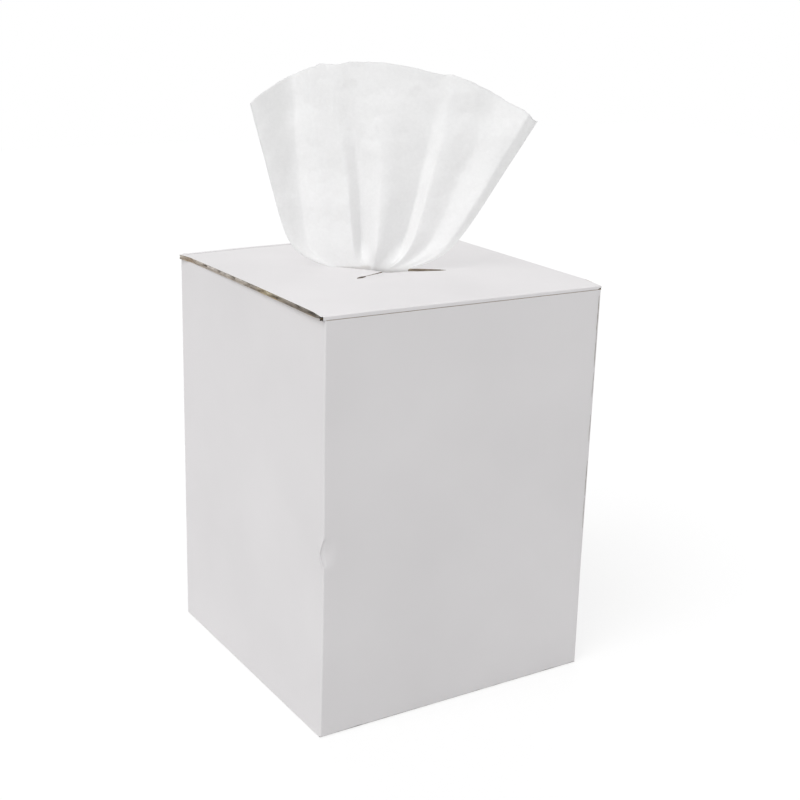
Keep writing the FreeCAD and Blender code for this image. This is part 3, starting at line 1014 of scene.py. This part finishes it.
# The folds from left to right, each as its share of the wipe's width at the slit and at the height
# of the crest, and its relief at the same two heights.
FOLDS = (
    (0.0, 0.0, 5, 15),
    (0.1, 0.15, 0, -8),
    (0.25, 0.2, 2, 1),
    (0.4, 0.25, 2, 0),
    (0.45, 0.3, -10, 2),
    (0.55, 0.4, 8, 0),
    (0.7, 0.6, -12, 0),
    (0.75, 0.65, 2, 0),
    (0.85, 0.8, -3, -4),
    (0.95, 0.95, 0, 0),
    (1.0, 1.0, 0, -12),
)


def edge_reach(edge, up):
    """How far out one edge of the wipe stands: it flares from the slit, then runs straight."""
    neck, flare, slope = edge
    above = np.maximum(up, 0)
    return neck + flare * (1 - np.exp(-above / FLARE_HEIGHT)) + slope * above


def torn_height(share):
    """The torn edge's height, on an arch from its crest down to the nearer top corner."""
    left = LEFT_FALL * np.clip(1 - share / CREST_SHARE, 0, 1) ** 2
    right = RIGHT_FALL * np.clip((share - CREST_SHARE) / (1 - CREST_SHARE), 0, 1) ** 2
    return CREST_RISE - left - right


def on_folds(stations, up, first):
    """A value of the folds at heights up: their shares from column 0, or reliefs from column 2. A
    station counts the folds from the left, with a share between two, and reliefs are rounded."""
    climb = np.clip(up / CREST_RISE, 0, 1)
    values = np.stack([fold[first] + (fold[first + 1] - fold[first]) * climb for fold in FOLDS])
    line = np.clip(stations.astype(int), 0, len(FOLDS) - 2)
    part = stations - line
    bend = part if first == 0 else 0.35 * part + 0.65 * smooth(part)
    low, high = (np.take_along_axis(values, (line + step)[None], 0)[0] for step in (0, 1))
    return low + (high - low) * bend


def place_across(station, up):
    """How far along the main cut a station of the wipe stands."""
    left = -edge_reach(LEFT_REACH, up)
    return left + (edge_reach(RIGHT_REACH, up) - left) * on_folds(station, up, 0)


def wipe_surface(stations, rises):
    """Points of the wipe above the lid in the slit's own frame: across, back and up."""
    station, rise = np.meshgrid(stations, rises)
    top = np.full(station.shape, CREST_RISE)
    for _ in range(3):
        top = torn_height(on_folds(station, top, 0))
    ragged = [noise.fractal(Vector((place * 0.9, 0.2, 6.4)), 0.7, 2.0, 4) for place in stations]
    top = top + TORN_RAGGED * np.array(ragged)
    up = -LID_DEPTH + rise * (top + LID_DEPTH)
    relief = on_folds(station, up, 2)
    start = np.where(relief > 0, -LID_DEPTH, TIP_CLEARANCE)
    relief = relief * smooth((up - start) / GATHER_HEIGHT)
    return np.stack([place_across(station, up), -relief, up], axis=-1)


def zigzag(turns):
    """From -1 to 1 and back once in every turn."""
    return 1 - 4 * np.abs((turns + 0.25) % 1 - 0.5)


def tail_surface(stations, depths):
    """Points of the wipe below the lid, where it is gathered into pleats."""
    station, share = np.meshgrid(stations, depths)
    ease = smooth(share)
    side = 2 * station / stations[-1] - 1
    neck = place_across(station, np.full(station.shape, -LID_DEPTH))
    across = neck * (1 - ease) + side * TAIL_HALF_WIDTH * ease
    back = TAIL_PLEAT * zigzag(side * TAIL_PLEATS) * ease
    return np.stack([across, back, -LID_DEPTH - 0.5 - TAIL_LENGTH * share], axis=-1)


def crumpled(fan, stations):
    """The fan with fine gathers near the slit and soft crumples above it."""
    up = fan[..., 2]
    gathers = GATHER_PLEAT * zigzag(stations + 0.4)
    fan[..., 1] += gathers * smooth((GATHER_TOP - up) / 30) * smooth(up / 6)
    for row in fan:
        for point in row:
            soft = noise.fractal(Vector(point) * 0.035, 0.9, 2.1, 4)
            point[1] += soft * CRUMPLE * min(max(point[2] - 4, 0) / 40, 1)
    return fan


def pulled_wipe(cloth):
    stations = np.linspace(0, len(FOLDS) - 1, (len(FOLDS) - 1) * COLUMNS_A_FOLD + 1)
    fan = crumpled(wipe_surface(stations, np.linspace(0, 1, ROWS_UP)), stations)
    rows = np.concatenate([tail_surface(stations, np.linspace(1, 0, ROWS_DOWN)), fan])
    across = rows[..., 0] - 0.2 - LEAN_LEFT * rows[..., 2]
    back, up = rows[..., 1], rows[..., 2] * FAN_STRETCH
    turned = np.stack([
        across * math.cos(WIPE_TURN) - back * math.sin(WIPE_TURN) + SLIT_AT[0] / MM * 0.6,
        across * math.sin(WIPE_TURN) + back * math.cos(WIPE_TURN) + SLIT_AT[1] / MM,
        up + LID_TOP / MM,
    ], axis=-1) * MM
    shape = Shape()
    shape.sheet(turned, 0)
    piece = shape.build("pulled_wipe_cloth", [cloth], "lid", weld=False)
    thicken(piece, CLOTH, offset=0)
    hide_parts("pulled_wipe")


# ---- floor, light and camera --------------------------------------------------------------------
CAMERA_TURNS = (-32.6, 17.4, 1.7)        # degrees: azimuth, elevation and roll
CAMERA_DISTANCE = 1.08
CAMERA_SHIFT = (0.0145, 0.047)           # of its target, right and up from the carton's middle
CAMERA_LENS = 62.2
SOFTNESS = 40                            # degrees that each lamp spreads over


def white_for_camera(tree, surface, share):
    """Mixes plain white into what the camera and reflections see of a surface."""
    path = add(tree, "ShaderNodeLightPath")
    seen = maths(tree, "MAXIMUM", path.outputs["Is Camera Ray"], path.outputs["Is Glossy Ray"])
    either = maths(tree, "MAXIMUM", seen, path.outputs["Is Transmission Ray"])
    amount = maths(tree, "MULTIPLY", either, share)
    white = add(tree, "ShaderNodeEmission", {"Color": (1, 1, 1, 1), "Strength": 1.0})
    return add(tree, "ShaderNodeMixShader",
               links={"Fac": amount, 1: surface, 2: white.outputs[0]})


def floor():
    bpy.ops.mesh.primitive_plane_add(size=6, location=(0, 0, -0.3 * MM))
    plane = bpy.context.object
    plane.name = "floor"
    material, tree = new_material("pale_floor")
    path = add(tree, "ShaderNodeLightPath")
    shade = add(tree, "ShaderNodeMix", {"data_type": "RGBA", 6: colour("D4D4D4"), 7: colour("FAFAFA")},
                {0: path.outputs["Is Camera Ray"]})
    matt = add(tree, "ShaderNodeBsdfDiffuse", links={"Color": shade.outputs[2]})
    mixed = white_for_camera(tree, matt.outputs[0], 0.75)
    show(tree, mixed.outputs[0])
    plane.data.materials.append(material)


def studio_light():
    world = bpy.data.worlds.new("studio")
    bpy.context.scene.world = world
    world.use_nodes = True
    tree = world.node_tree
    tree.nodes.clear()
    path = add(tree, "ShaderNodeLightPath")
    soft = add(tree, "ShaderNodeBackground", {"Color": (1, 1, 1, 1), "Strength": 0.62})
    white = add(tree, "ShaderNodeBackground", {"Color": (1, 1, 1, 1), "Strength": 1.0})
    seen = maths(tree, "MAXIMUM", path.outputs["Is Camera Ray"], path.outputs["Is Transmission Ray"])
    mixed = add(tree, "ShaderNodeMixShader",
                links={"Fac": seen, 1: soft.outputs[0], 2: white.outputs[0]})
    add(tree, "ShaderNodeOutputWorld", links={"Surface": mixed.outputs[0]})
    soft_lamp("key", (-0.590, -0.190, 0.785), 0.545)
    soft_lamp("back", (0.25, 0.60, 0.76), 0.105)
    soft_lamp("fill", (0.35, -0.90, 0.05), 0.095)


def soft_lamp(name, towards, strength):
    """A wide soft lamp far away. strength is how bright it makes a white sheet that faces it."""
    lamp = bpy.data.lights.new(name, "SUN")
    lamp.energy = strength * math.pi
    lamp.angle = math.radians(SOFTNESS)
    piece = bpy.data.objects.new(name, lamp)
    bpy.context.scene.collection.objects.link(piece)
    piece.rotation_mode = "QUATERNION"
    piece.rotation_quaternion = Vector(towards).to_track_quat("Z", "Y")


def camera():
    """Stands to the front left, a little above the lid, with a slight roll."""
    azimuth, elevation, roll_angle = (math.radians(turn) for turn in CAMERA_TURNS)
    back = Vector((math.sin(azimuth) * math.cos(elevation), -math.cos(azimuth) * math.cos(elevation),
                   math.sin(elevation)))
    right = Vector((math.cos(azimuth), math.sin(azimuth), 0))
    up = back.cross(right)
    target = Vector((0, 0, LID_TOP / 2)) + right * CAMERA_SHIFT[0] + up * CAMERA_SHIFT[1]
    turned_right = right * math.cos(roll_angle) + up * math.sin(roll_angle)
    turned_up = up * math.cos(roll_angle) - right * math.sin(roll_angle)
    data = bpy.data.cameras.new("camera")
    data.lens = CAMERA_LENS
    eye = bpy.data.objects.new("camera", data)
    bpy.context.scene.collection.objects.link(eye)
    frame_axes = Matrix((turned_right, turned_up, back)).transposed().to_4x4()
    eye.matrix_world = Matrix.Translation(target + back * CAMERA_DISTANCE) @ frame_axes
    bpy.context.scene.camera = eye


def main():
    white = bleached_liner()
    kraft = kraft_paper("kraft_liner", "BFA680", "A88E68")
    fluting = kraft_paper("fluting_paper", "A68F6E", "8C7656")
    edge = cut_board("cut_board")
    cloth = spunlace_cloth("spunlace_wipe")
    wound = spunlace_cloth("wound_spunlace", rings=True)
    carton_walls(white, kraft, fluting)
    for side in (-1, 1):
        dust_flap(side, white, kraft, edge)
    cracked_corner(kraft_paper("creased_liner", "B4B0A8", "8E8A82"))
    bottom(white, kraft, edge)
    lid_panel(white, kraft, edge, cut_board("crushed_board_painted_shade", crushed=True))
    tuck_flap(white, kraft, edge)
    lid_crease(white)
    roll(wound)
    pulled_wipe(cloth)
    floor()
    studio_light()
    camera()
    bpy.context.scene.view_settings.view_transform = "Standard"


main()
